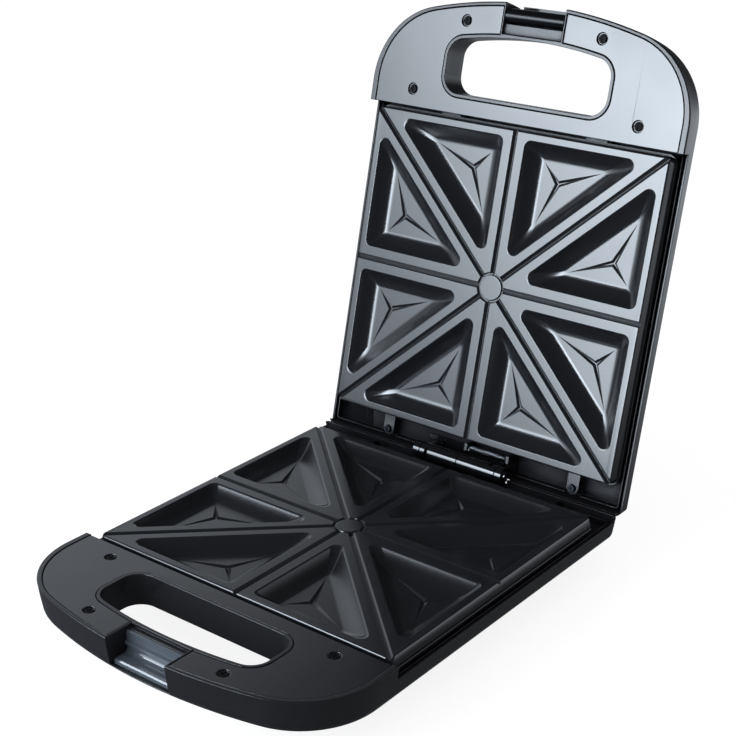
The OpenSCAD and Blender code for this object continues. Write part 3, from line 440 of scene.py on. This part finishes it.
def housing(depth, floor_z, *cuts):
    """A whole housing: a flat handle with a hand hole, low side rims, a deck round the plate and
    a deep belly. depth and floor_z are those of its latch notch, and the cuts are its own."""
    edge = NOTCH_W / 2 + NOTCH_EDGE - SEAM
    bulkhead_y = COVER_Y - WALL
    lip = slab(hole_outline(-LIP_W), HANDLE_FLOOR, 0)
    deck = combine(slab(body_outline(3.2), DECK_Z - DECK_T, DECK_Z),
                   (CUT, slab(rounded_box(PLATE_W / 2 - DECK_EDGE, -PLATE_D + DECK_EDGE,
                                          -DECK_EDGE, 6), -FAR, FAR)),
                   (CUT, block(-PAST_SIDE, PAST_SIDE, FRONT_Y - PAST, bulkhead_y, -FAR, FAR)))
    bulkhead = combine(block(-HALF_W, HALF_W, bulkhead_y, COVER_Y, HANDLE_FLOOR - 3,
                             COVER_UNDER - 0.01),
                       (BOTH, outer_form()))
    rim = combine(slab(body_outline(0.9), COVER_UNDER, 0),
                  (CUT, slab(cover_outline(-SEAM), -FAR, FAR)))
    posts = combine(block(-NOTCH_W / 2 - SIDE_POST, NOTCH_W / 2 + SIDE_POST, FRONT_Y - PAST,
                          FRONT_Y + depth + 1, HANDLE_FLOOR, COVER_UNDER),
                    (JOIN, block(-edge, edge, FRONT_Y - PAST, FRONT_Y + BAR_D, HANDLE_FLOOR,
                                 FAR)),
                    (BOTH, outer_form()))
    seats = [post(x, y, HANDLE_FLOOR + 1, COVER_UNDER, SEAT_R) for x, y in SCREW_XY]
    seats += [post(x, LUG_Y, DECK_Z - 0.1, PLATE_REST, SEAT_R) for x in LUG_XS]
    seats += [block(x - TONGUE_SEAT_W / 2, x + TONGUE_SEAT_W / 2, COVER_Y - 0.1, COVER_Y + 3,
                    DECK_Z - 0.1, PLATE_REST) for x in TONGUE_XS]
    holes = [post(x, y, COVER_UNDER - 12, PAST, SCREW_HOLE_R, 16) for x, y in SCREW_XY]
    holes += [post(x, LUG_Y, PLATE_REST - 6, PAST, SCREW_HOLE_R, 16) for x in LUG_XS]
    notch = combine(block(-NOTCH_W / 2, NOTCH_W / 2, FRONT_Y - PAST, FRONT_Y + depth, floor_z,
                          FAR),
                    (JOIN, block(-NOTCH_W / 2, NOTCH_W / 2, FRONT_Y + depth - 1,
                                 FRONT_Y + BAR_D - LIP_W + 0.2, -STRIP_DROP, FAR)))
    over_deck = block(-PAST_SIDE, PAST_SIDE, STEP_Y, REAR_D - WALL - 1, -RIM_DROP, FAR)
    over_rear = block(-PAST_SIDE, PAST_SIDE, STEP_Y, REAR_D + PAST, -RIM_DROP + REAR_RISE, FAR)
    barrel_way = block(-BARREL_END - BARREL_GAP, BARREL_END + BARREL_GAP, STEP_Y, REAR_D + PAST,
                       -RIM_DROP, FAR)
    return combine(shell(), *each(JOIN, [lip, deck_rib(), deck, bulkhead, rim, posts, *seats]),
                   *each(CUT, [slab(hole_outline(), -FAR, FAR), notch, over_deck, over_rear,
                               barrel_way, *holes, *cuts]))


def rounded(o, splits, angle=30):
    """Rounds every edge sharper than the angle. The mesh is merged and its flat faces joined up
    first, but not across the planes at the x values in splits, which run through its holes, so
    that no face has a hole in it. The ledge that the cover hides stays sharp."""
    bm = bmesh.new()
    bm.from_mesh(o.data)
    bmesh.ops.remove_doubles(bm, verts=bm.verts, dist=0.004)
    for x in splits:
        found = bmesh.ops.bisect_plane(bm, geom=[*bm.verts, *bm.edges, *bm.faces], dist=0.001,
                                       plane_co=(x, 0, 0), plane_no=(1, 0, 0))
        for e in found["geom_cut"]:
            if isinstance(e, bmesh.types.BMEdge):
                e.seam = True
    bmesh.ops.dissolve_limit(bm, angle_limit=math.radians(0.4), verts=bm.verts, edges=bm.edges,
                             delimit={"SEAM"})
    sharp = [e for e in bm.edges if len(e.link_faces) == 2
             and e.calc_face_angle(0) > math.radians(angle) and e.calc_length() > 0.02
             and abs(sum(v.co.z for v in e.verts) / 2 - COVER_UNDER) > 0.1]
    bmesh.ops.bevel(bm, geom=sharp, offset=EDGE_R, segments=EDGE_STEPS, profile=0.5,
                    affect="EDGES", clamp_overlap=False)
    bmesh.ops.recalc_face_normals(bm, faces=bm.faces)
    bm.to_mesh(o.data)
    bm.free()
    return o


def place(o, name, half, material, slot, *nodes, smooth=40, flat=True):
    """Puts a half-frame scratch solid in the row frame as a finished piece that rides on its
    half's body and stands for the nodes. Turning a half over turns its faces, so they flip.
    Edges sharper than smooth, in degrees, stay sharp. With flat, faces of seven sides or more,
    which are all level, are shaded flat."""
    verts = np.empty(len(o.data.vertices) * 3)
    o.data.vertices.foreach_get("co", verts)
    mesh = o.data.copy()
    mesh.vertices.foreach_set("co", half(verts.reshape(-1, 3)).ravel())
    if half is to_upper:
        mesh.flip_normals()
    mesh.name = name
    mesh.shade_smooth()
    if flat:
        sides = np.empty(len(mesh.polygons), np.int32)
        mesh.polygons.foreach_get("loop_total", sides)
        mesh.polygons.foreach_set("use_smooth", sides < 7)
    mesh.set_sharp_from_angle(angle=math.radians(smooth))
    mesh.materials.clear()
    mesh.materials.append(material)
    made = bpy.data.objects.new(name, mesh)
    scene.collection.objects.link(made)
    weighted = made.modifiers.new("flat faces stay flat", "WEIGHTED_NORMAL")
    weighted.keep_sharp, weighted.weight = True, 80
    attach(made, "base" if half is to_lower else "lid")
    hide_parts(*nodes)


def linear(hex_colour):
    """An sRGB hex value as the linear colour that the shader takes."""
    c = np.array([int(hex_colour[i:i + 2], 16) for i in (1, 3, 5)]) / 255
    c = np.where(c <= 0.04045, c / 12.92, ((c + 0.055) / 1.055) ** 2.4)
    return (*c.tolist(), 1.0)


TINT, CLOUD_MM, SHADE_MM = 0.06, 40.0, 30.0


def surface(name, colour, rough, spread, grain_mm, grain_depth, polished=None,
            reach=(0.62, 0.9), **shader_inputs):
    """A material whose roughness, give or take spread, and tint drift slowly over the piece, in
    clouds of 40 mm, and whose skin carries a fine grain of grain_mm that is grain_depth deep.
    With polished, the specular level carries painted shade: an ambient occlusion mask dims it
    from polished where the surface is open down to 0.02 where less than the first share of reach
    is open, so recesses, gaps and corners look darker."""
    material, t = bare_material(name)
    where = node(t, "ShaderNodeTexCoord").outputs["Object"]
    drift = node(t, "ShaderNodeTexNoise", inputs={"Scale": 1000 / CLOUD_MM, "Detail": 3.0},
                 links={"Vector": where}).outputs["Fac"]
    grain = node(t, "ShaderNodeTexNoise", inputs={"Scale": 1000 / grain_mm, "Detail": 2.0},
                 links={"Vector": where}).outputs["Fac"]
    dark, light = ([min(1.0, v * k) for v in linear(colour)[:3]] + [1.0]
                   for k in (1 - TINT, 1 + TINT))
    colours = node(t, "ShaderNodeMix", {"data_type": "RGBA"}, {6: dark, 7: light}, {0: drift})
    gloss = node(t, "ShaderNodeMapRange",
                 inputs={"From Min": 0.3, "From Max": 0.7, "To Min": rough - spread,
                         "To Max": rough + spread}, links={"Value": drift})
    bump = node(t, "ShaderNodeBump", inputs={"Strength": 1.0, "Distance": grain_depth * MM},
                links={"Height": grain})
    shader = node(t, "ShaderNodeBsdfPrincipled", inputs=shader_inputs,
                  links={"Base Color": colours.outputs[2], "Roughness": gloss.outputs["Result"],
                         "Normal": bump.outputs["Normal"]})
    # Painted shade: ambient occlusion over 30 mm dims the specular level in recesses, gaps and
    # corners.
    if polished:
        painted_recess_shade = node(t, "ShaderNodeAmbientOcclusion", {"samples": 8},
                        {"Distance": SHADE_MM * MM})
        shine = node(t, "ShaderNodeMapRange",
                     inputs={"From Min": reach[0], "From Max": reach[1], "To Min": 0.02,
                             "To Max": polished}, links={"Value": painted_recess_shade.outputs["AO"]})
        t.links.new(shine.outputs["Result"], shader.inputs["Specular IOR Level"])
    node(t, "ShaderNodeOutputMaterial", links={"Surface": shader.outputs["BSDF"]})
    return material


# Moulded ABS, dyed charcoal, from a finely eroded steel mould: satin, with a soft broad shine,
# and painted shade that dims the shine in recesses and gaps.
charcoal_abs = surface("moulded charcoal ABS", "#1c1c1f", rough=0.3, spread=0.04, grain_mm=0.7,
                       grain_depth=0.006, polished=0.4)
inlet = post(0, 0, -30, 30, INLET_HOLE_R)
inlet.data.transform(Matrix.Translation((INLET_X, REAR_D - 4, INLET_Z))
                     @ Matrix.Rotation(math.pi / 2, 4, "X"))
HOLES_X = (0, -27, 27, *(x for x, _ in SCREW_XY), *LUG_XS)
lower_half = rounded(housing(LOWER_NOTCH_D, LOWER_NOTCH_FLOOR, inlet), (*HOLES_X, INLET_X))
# Behind the clip's barrel the upper notch has a closed foot; in front of it, it runs through.
clip_way = block(-NOTCH_W / 2, NOTCH_W / 2, FRONT_Y - PAST, PIVOT_Y + 1, -FAR, 0)
pivot_hole = bar(arc(PIVOT_Y, PIVOT_Z, PIVOT_HOLE_R, 0, 360, 32)[:-1], PIVOT_HALF)
lamp_holes = [post(x, LAMP_Y, BELLY_Z - PAST, BELLY_Z + 6, LAMP_HOLE_R) for x in LAMP_XS]
upper_half = rounded(housing(UPPER_NOTCH_D, UPPER_NOTCH_FLOOR, clip_way, pivot_hole, *lamp_holes),
                     (*HOLES_X, *LAMP_XS))
place(lower_half, "lower_shell", to_lower, charcoal_abs, "charcoal_plastic", "lower_housing")
place(upper_half, "upper_shell", to_upper, charcoal_abs, "charcoal_plastic", "upper_housing")
for used in (lower_half, upper_half):
    bpy.data.objects.remove(used)

# ---- Handle covers ----
# The flat panels that close the handles from inside, moulded in ABS and polished smoother than
# the housings. Four black cross-head screws in round sinks hold each one, with a fine seam round.

COVER_TOP, SINK_R, SINK_DEPTH = -0.4, 4.1, 1.5


def handle_cover():
    """The panel with its hand hole, its notch and its screw sinks."""
    edge = NOTCH_W / 2 + NOTCH_EDGE
    panel = slab(cover_outline(), COVER_UNDER, COVER_TOP)
    notch = block(-edge, edge, FRONT_Y - PAST, FRONT_Y + BAR_D, -FAR, FAR)
    sinks = [post(x, y, COVER_TOP - SINK_DEPTH, PAST, SINK_R, 48) for x, y in SCREW_XY]
    holes = [post(x, y, -FAR, PAST, SCREW_HOLE_R, 16) for x, y in SCREW_XY]
    return combine(panel, *each(CUT, [slab(hole_outline(-LIP_W - SEAM), -FAR, FAR), notch,
                                      *sinks, *holes]))


# The same charcoal ABS from a polished mould: a clear, even gloss that mirrors the softbox.
cover_abs = surface("polished charcoal ABS", "#1e1e21", rough=0.17, spread=0.03, grain_mm=1.1,
                    grain_depth=0.003, **{"Specular IOR Level": 0.5})
cover_half = rounded(handle_cover(), HOLES_X)
place(cover_half, "lower_cover", to_lower, cover_abs, "cover_plastic", "lower_handle_cover")
place(cover_half, "upper_cover", to_upper, cover_abs, "cover_plastic", "upper_handle_cover")
bpy.data.objects.remove(cover_half)

# ---- Cooking plates ----
# Die-cast aluminium with a baked black non-stick coating. Straight and diagonal grooves meet at a
# round disc and part eight triangular pockets with softly curved walls. Two lugs at the rear and
# two tongues in front hold each plate to its housing.

POCKET_DEPTH, PLATE_T, WALL_RUN = 9.0, 2.6, 12.4
EDGE_FLAT, LINE_FLAT, DIAGONAL_FLAT = 5.8, 9.0, 8.2
HUB_R, HUB_SIDES = 9.2, 96
PLATE_R, SKIRT_TOP, STEP_OUT, SKIRT_T, DRAFT = 5.0, -7.5, 1.8, 2.4, 1.4
LUG_T, LUG_R, TONGUE_W, TONGUE_REACH = 2.0, 4.6, 16.0, 3.2
STUD_R, STUD_END, STUD_HOLE_R, STUD_HOLE_TOP = 6.0, -21.5, 2.05, -11.4
QUAD_W, QUAD_D = PLATE_W / 2, PLATE_D / 2
SLOPE = math.hypot(QUAD_W, QUAD_D)


def quadrant_pockets():
    """Sharp corners of the two pockets of the quadrant at +x and the rear, from the plate's
    centre and anticlockwise. Each side stands off its groove or edge by half that flat."""
    cut_x, cut_y = DIAGONAL_FLAT * SLOPE / QUAD_D, DIAGONAL_FLAT * SLOPE / QUAD_W
    top, out = QUAD_D - EDGE_FLAT, QUAD_W - EDGE_FLAT
    centre = [(LINE_FLAT, LINE_FLAT * QUAD_D / QUAD_W + cut_y),
              (top * QUAD_W / QUAD_D - cut_x, top), (LINE_FLAT, top)]
    side = [(LINE_FLAT * QUAD_W / QUAD_D + cut_x, LINE_FLAT), (out, LINE_FLAT),
            (out, out * QUAD_D / QUAD_W - cut_y)]
    return [np.array(centre), np.array(side)]


def all_pockets():
    """The eight triangles, the quadrant's two mirrored across the centre lines. A mirror turns
    the order of the corners, so it is turned back."""
    found = []
    for sx in (1, -1):
        for sy in (1, -1):
            for t in quadrant_pockets():
                t = t * (sx, sy)
                found.append((t if sx * sy > 0 else t[::-1]) - (0, QUAD_D))
    return found


def incentre(t):
    """The triangle's incentre and inradius: corners weighted by the sides across from them."""
    sides = np.linalg.norm(np.roll(t, -1, 0) - np.roll(t, -2, 0), axis=1)
    s = sides.sum() / 2
    return (sides[:, None] * t).sum(0) / sides.sum(), math.sqrt(np.prod(s - sides) / s)


def pocket_ring(t, d, r, n=9):
    """The triangle drawn in by d, its corners rounded to r: each corner's arc is centred on its
    bisector, r over the sine of half the angle away."""
    m, inr = incentre(t)
    s = m + (t - m) * (1 - d / inr)
    arcs = []
    for i in range(3):
        u, w = s[(i + 2) % 3] - s[i], s[(i + 1) % 3] - s[i]
        u, w = u / np.linalg.norm(u), w / np.linalg.norm(w)
        half = math.acos(u @ w) / 2
        c = s[i] + (u + w) / np.linalg.norm(u + w) * r / math.sin(half)
        a0 = math.degrees(math.atan2(-u[0], u[1])) + 180
        arcs.append(arc(c[0], c[1], r, a0, a0 + 180 - math.degrees(2 * half), n))
    return np.concatenate(arcs)


def pocket_wall():
    """How far in from the mouth, how high, and the corners' radius, from the floor to above the
    flat top. The wall falls as the depth times 1 - (1 - d / run) ** 1.8: steep by the mouth and
    level where it meets the floor. The mouth is rounded over."""
    share = np.array([1.0, 0.95, 0.9, 0.84, 0.77, 0.69, 0.6, 0.5, 0.39, 0.28, 0.17, 0.09])
    d = WALL_RUN * share
    z = -POCKET_DEPTH * (1 - (1 - d / WALL_RUN) ** 1.8)
    r = 0.8 + 3.9 * (1 - d / WALL_RUN) ** 0.8
    mouth = ((0.75, -0.9, 4.6), (0.42, -0.54, 4.7), (0.14, -0.26, 4.8), (-0.14, -0.09, 4.9),
             (-0.42, -0.015, 5.1), (-0.6, 0.01, 5.2), (-3.0, 1.0, 6.0))
    return [*zip(d.tolist(), z.tolist(), r.tolist()), *mouth]


POCKET_WALL = pocket_wall()
# The pocket's underside, the same way: how far in, how high, and the corners' radius.
PAN_WALL = ((6.4, -POCKET_DEPTH - PLATE_T + 0.3, 4.5),
            (-0.8, -0.45 * POCKET_DEPTH - PLATE_T, 5.5), (-2.34, -0.3, 5.5))
# Half a dividing groove's section, a V with a rounded foot: how far from its middle, how high.
GROOVE_WALL = ((0.06, -1.98), (0.2, -1.9), (1.72, -0.38), (1.88, -0.22), (2.08, -0.08),
               (2.35, 0.0), (3.2, 0.5))
# The ring groove round the disc, and the disc's own rounded edge: how far out or in, how high.
HUB_GROOVE = ((1.1, -1.6), (1.35, -1.35), (1.42, -0.6), (1.6, -0.25), (1.95, -0.02), (2.8, 0.5))
HUB_EDGE = ((-0.25, -3.0), (-0.2, -1.5), (0, -1.2), (0.03, -0.7), (0.2, -0.45), (0.55, -0.3))
# A star's groove, from its foot up: half its width, how far it starts behind the middle, its
# reach as a share of half the way to the corner, and its height over the pocket's floor.
STAR_STEPS = ((0.35, 0.2, 0.25, -1.2), (2.2, 1.1, 1.0, 0.0), (2.7, 1.4, 1.18, 0.3))
# The plate's rim, rounded over: how far in, and how high.
RIM_STEPS = ((-0.1, -1.5), (0.03, -1.1), (0.22, -0.7), (0.5, -0.34), (0.9, -0.1), (1.4, 0.0))


def groove_cutter(angle):
    """A groove's section carried along a straight line through the plate's centre, turned by
    the angle."""
    half = np.array(GROOVE_WALL)
    o = bar(np.concatenate([half, half[::-1] * (-1, 1)]), 260)
    o.data.transform(Matrix.Translation((0, -QUAD_D, 0)) @ Matrix.Rotation(angle, 4, "Z"))
    return o


def hub_disc(steps, way):
    """A stack of circles about the plate's centre, grown or shrunk from the disc's radius."""
    return loft([(arc(0, -QUAD_D, HUB_R + way * d, 0, 360, HUB_SIDES)[:-1], z)
                 for d, z in steps])


def star_cutters(t):
    """The engraved three-pointed star: three tapering grooves with a narrow flat foot, from the
    floor's middle towards the corners."""
    m, _ = incentre(t)
    cutters = []
    for p in t:
        u = (p - m) / np.linalg.norm(p - m)
        v = np.array([-u[1], u[0]])
        reach = 0.5 * np.linalg.norm(p - m)
        cutters.append(loft([
            (np.array([m - back * u, m + wide * v, m + tip * reach * u, m - wide * v])[::-1],
             -POCKET_DEPTH + z) for wide, back, tip, z in STAR_STEPS]))
    return cutters


def rim_box(out, front_out, r):
    """The plate's outline, moved out at the sides by one amount and at both ends by another."""
    return rounded_box(QUAD_W + out, -PLATE_D - front_out, front_out, r)


def cooking_plate():
    """The rim and its skirt, hollow underneath, joined to the eight pans, lugs, tongues and the
    clamp's stud, then cut by the grooves, the pockets, the stars and the screw holes."""
    step_r, inner_out = PLATE_R + STEP_OUT, STEP_OUT - 0.3
    outer = loft([
        (rim_box(STEP_OUT, STEP_OUT, step_r), PLATE_REST),
        (rim_box(STEP_OUT, STEP_OUT, step_r), SKIRT_TOP - 0.3),
        (rim_box(inner_out, inner_out, PLATE_R + inner_out), SKIRT_TOP),
        (rim_box(DRAFT, 0, PLATE_R), SKIRT_TOP + 0.02), (rim_box(DRAFT, 0, PLATE_R), -4.8),
        *((rim_box(-d, -max(d, 0), PLATE_R - max(d, 0)), z) for d, z in RIM_STEPS)])
    under = slab(rim_box(-SKIRT_T, -SKIRT_T, PLATE_R), PLATE_REST - PAST, -PLATE_T)
    pockets = all_pockets()
    pans = [loft([(pocket_ring(t, d, r, 4), z) for d, z, r in PAN_WALL]) for t in pockets]
    hollows = [loft([(pocket_ring(t, d, r), z) for d, z, r in POCKET_WALL]) for t in pockets]
    stars = [cutter for t in pockets for cutter in star_cutters(t)]
    lugs = [post(x, LUG_Y, PLATE_REST, PLATE_REST + LUG_T, LUG_R) for x in LUG_XS]
    lugs += [block(x - LUG_R, x + LUG_R, -1, LUG_Y, PLATE_REST, PLATE_REST + LUG_T)
             for x in LUG_XS]
    lugs += [block(x - TONGUE_W / 2, x + TONGUE_W / 2, -PLATE_D - TONGUE_REACH, -PLATE_D + 1,
                   PLATE_REST, PLATE_REST + LUG_T) for x in TONGUE_XS]
    diagonal = math.atan2(QUAD_D, QUAD_W)
    grooves = combine(
        groove_cutter(0),
        *each(JOIN, [groove_cutter(a) for a in (math.pi / 2, diagonal, -diagonal)]),
        (JOIN, hub_disc(HUB_GROOVE, 1)), (CUT, hub_disc(HUB_EDGE, -1)))
    stud = post(0, -QUAD_D, STUD_END, -1, STUD_R)
    stud_hole = post(0, -QUAD_D, STUD_END - 3.5, STUD_HOLE_TOP, STUD_HOLE_R, 24)
    lug_holes = [post(x, LUG_Y, -20, PAST, SCREW_HOLE_R, 24) for x in LUG_XS]
    return combine(outer, (CUT, under), *each(JOIN, [*pans, *lugs, stud]),
                   *each(CUT, [grooves, *hollows, *stars, stud_hole, *lug_holes]))


# Sprayed on and baked: black and smooth, clear enough to mirror the softbox. The spray's orange
# peel of about a millimetre shows as a very fine unevenness, and painted shade dims the shine in
# the deep grooves and the gaps round the plate.
non_stick = surface("baked non-stick coating on cast aluminium", "#1b1c1f", rough=0.2,
                    spread=0.03, grain_mm=1.3, grain_depth=0.008, polished=0.5,
                    reach=(0.3, 0.52))
plate_half = cooking_plate()
place(plate_half, "lower_plate", to_lower, non_stick, "nonstick_coating", "lower_cooking_plate",
      smooth=32, flat=False)
place(plate_half, "upper_plate", to_upper, non_stick, "nonstick_coating", "upper_cooking_plate",
      smooth=32, flat=False)
bpy.data.objects.remove(plate_half)

# ---- Hinge ----
# Two moulded leaves, each screwed to its half by two screws, whose knuckles share one polished
# steel pin. A small steel coil beside the barrel guards the wires that cross between the halves.


def finish(material, *names):
    """Gives CAD nodes a material. Their shapes are right, and stay."""
    for name in names:
        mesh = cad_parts[name].data
        mesh.materials.clear()
        mesh.materials.append(material)


# Nylon from a polished mould: a bright line of light runs along the barrel, and painted shade
# keeps the flats in the corner of the lid dark.
hinge_black = surface("moulded black nylon", "#101012", rough=0.12, spread=0.03, grain_mm=0.8,
                      grain_depth=0.004, polished=0.6, reach=(0.4, 0.62))
# Drawn and polished wire and rod: almost a mirror, with faint streaks of gloss.
polished_steel = surface("polished stainless steel", "#c9cbd0", rough=0.16, spread=0.05,
                         grain_mm=0.6, grain_depth=0.002, Metallic=1.0)
finish(hinge_black, "lower_hinge_leaf", "upper_hinge_leaf")
finish(polished_steel, "hinge_pin", "wire_guard")

# ---- Latch ----
# A clip of black acetal that swings on a plated pin in the lid's notch, and the glossy grey
# insert in the lower notch whose ledge it grips when the halves are closed.

# Acetal: a waxy black, less bright than the hinge.
clip_black = surface("moulded black acetal", "#0e0e10", rough=0.14, spread=0.03, grain_mm=0.8,
                     grain_depth=0.004, **{"Specular IOR Level": 0.22})
# ABS dyed silver grey, from a polished mould: soft bright bands along its hollows.
silver_abs = surface("glossy silver-grey ABS", "#4a5058", rough=0.12, spread=0.03, grain_mm=1.4,
                     grain_depth=0.002)
# Bright zinc on turned or stamped steel: grey metal with a slightly milky shine.
zinc_steel = surface("zinc-plated steel", "#b9bcc0", rough=0.3, spread=0.08, grain_mm=0.8,
                     grain_depth=0.004, Metallic=1.0)
finish(clip_black, "latch_clip")
finish(silver_abs, "latch_catch")
finish(zinc_steel, "latch_pivot_pin")

# ---- Screws ----
# Cross-head screws of steel. Those that show are black: blackened ones in the covers' sinks, and
# black zinc ones on the plates' lugs and the hinge. Hidden ones have plain bright zinc.

# Heat-blackened steel: nearly no shine, so the screws read as black dots.
black_steel = surface("blackened steel", "#0e0e10", rough=0.5, spread=0.06, grain_mm=0.6,
                      grain_depth=0.004, **{"Specular IOR Level": 0.06})
# Black passivated zinc: a dark metal whose rim still catches light.
dark_zinc = surface("black zinc-plated steel", "#1d1e21", rough=0.3, spread=0.06, grain_mm=0.8,
                    grain_depth=0.004, Metallic=1.0)
finish(black_steel, "lower_cover_screws", "upper_cover_screws")
finish(dark_zinc, "lower_plate_screws", "upper_plate_screws", "lower_hinge_screws",
       "upper_hinge_screws")
finish(zinc_steel, "lower_clamp_screw", "upper_clamp_screw", "lower_reflector_screws",
       "upper_reflector_screws", "terminal_screws", "foot_screws")

# ---- Heating parts ----
# In each half a tubular element pressed up against the plate by a clamp bar, over a thin bright
# pan that throws the heat back. The thermostat and the thermal fuse sit on the upper plate.

# Annealed steel tube: warm grey, dulled by heat.
tube_steel = surface("annealed tube steel", "#8c8a86", rough=0.38, spread=0.1, grain_mm=1.5,
                     grain_depth=0.006, Metallic=1.0)
# Rolled sheet: light and bright, with a soft blur from the rolls.
bright_sheet = surface("rolled aluminium sheet", "#cfd1d4", rough=0.28, spread=0.08,
                       grain_mm=1.2, grain_depth=0.004, Metallic=1.0)
finish(tube_steel, "lower_heating_element", "upper_heating_element", "thermostat",
       "thermal_fuse")
finish(zinc_steel, "lower_element_clamp", "upper_element_clamp")
finish(bright_sheet, "lower_heat_reflector", "upper_heat_reflector")

# ---- Feet, cord inlet, terminals and lamps ----
# Four rubber feet and the rubber grommet in the rear wall, the nylon block that the mains wires
# end in, and two small acrylic lenses in the lid over the holder of their neon lamps.

# Moulded rubber: black and dull.
rubber = surface("moulded rubber", "#161617", rough=0.6, spread=0.06, grain_mm=0.5,
                 grain_depth=0.01)
# Undyed nylon: ivory, half matt.
ivory_nylon = surface("moulded ivory nylon", "#e2dcc8", rough=0.4, spread=0.05, grain_mm=0.9,
                      grain_depth=0.004)
# Dyed clear acrylic: a deep, glassy red and green.
red_lens = surface("red acrylic", "#b3120c", rough=0.08, spread=0.02, grain_mm=2.0,
                   grain_depth=0.001)
green_lens = surface("green acrylic", "#1f9a35", rough=0.08, spread=0.02, grain_mm=2.0,
                     grain_depth=0.001)
finish(rubber, "rubber_feet", "cord_inlet")
finish(ivory_nylon, "terminal_block", "lamp_holder")
finish(red_lens, "red_lamp_lens")
finish(green_lens, "green_lamp_lens")
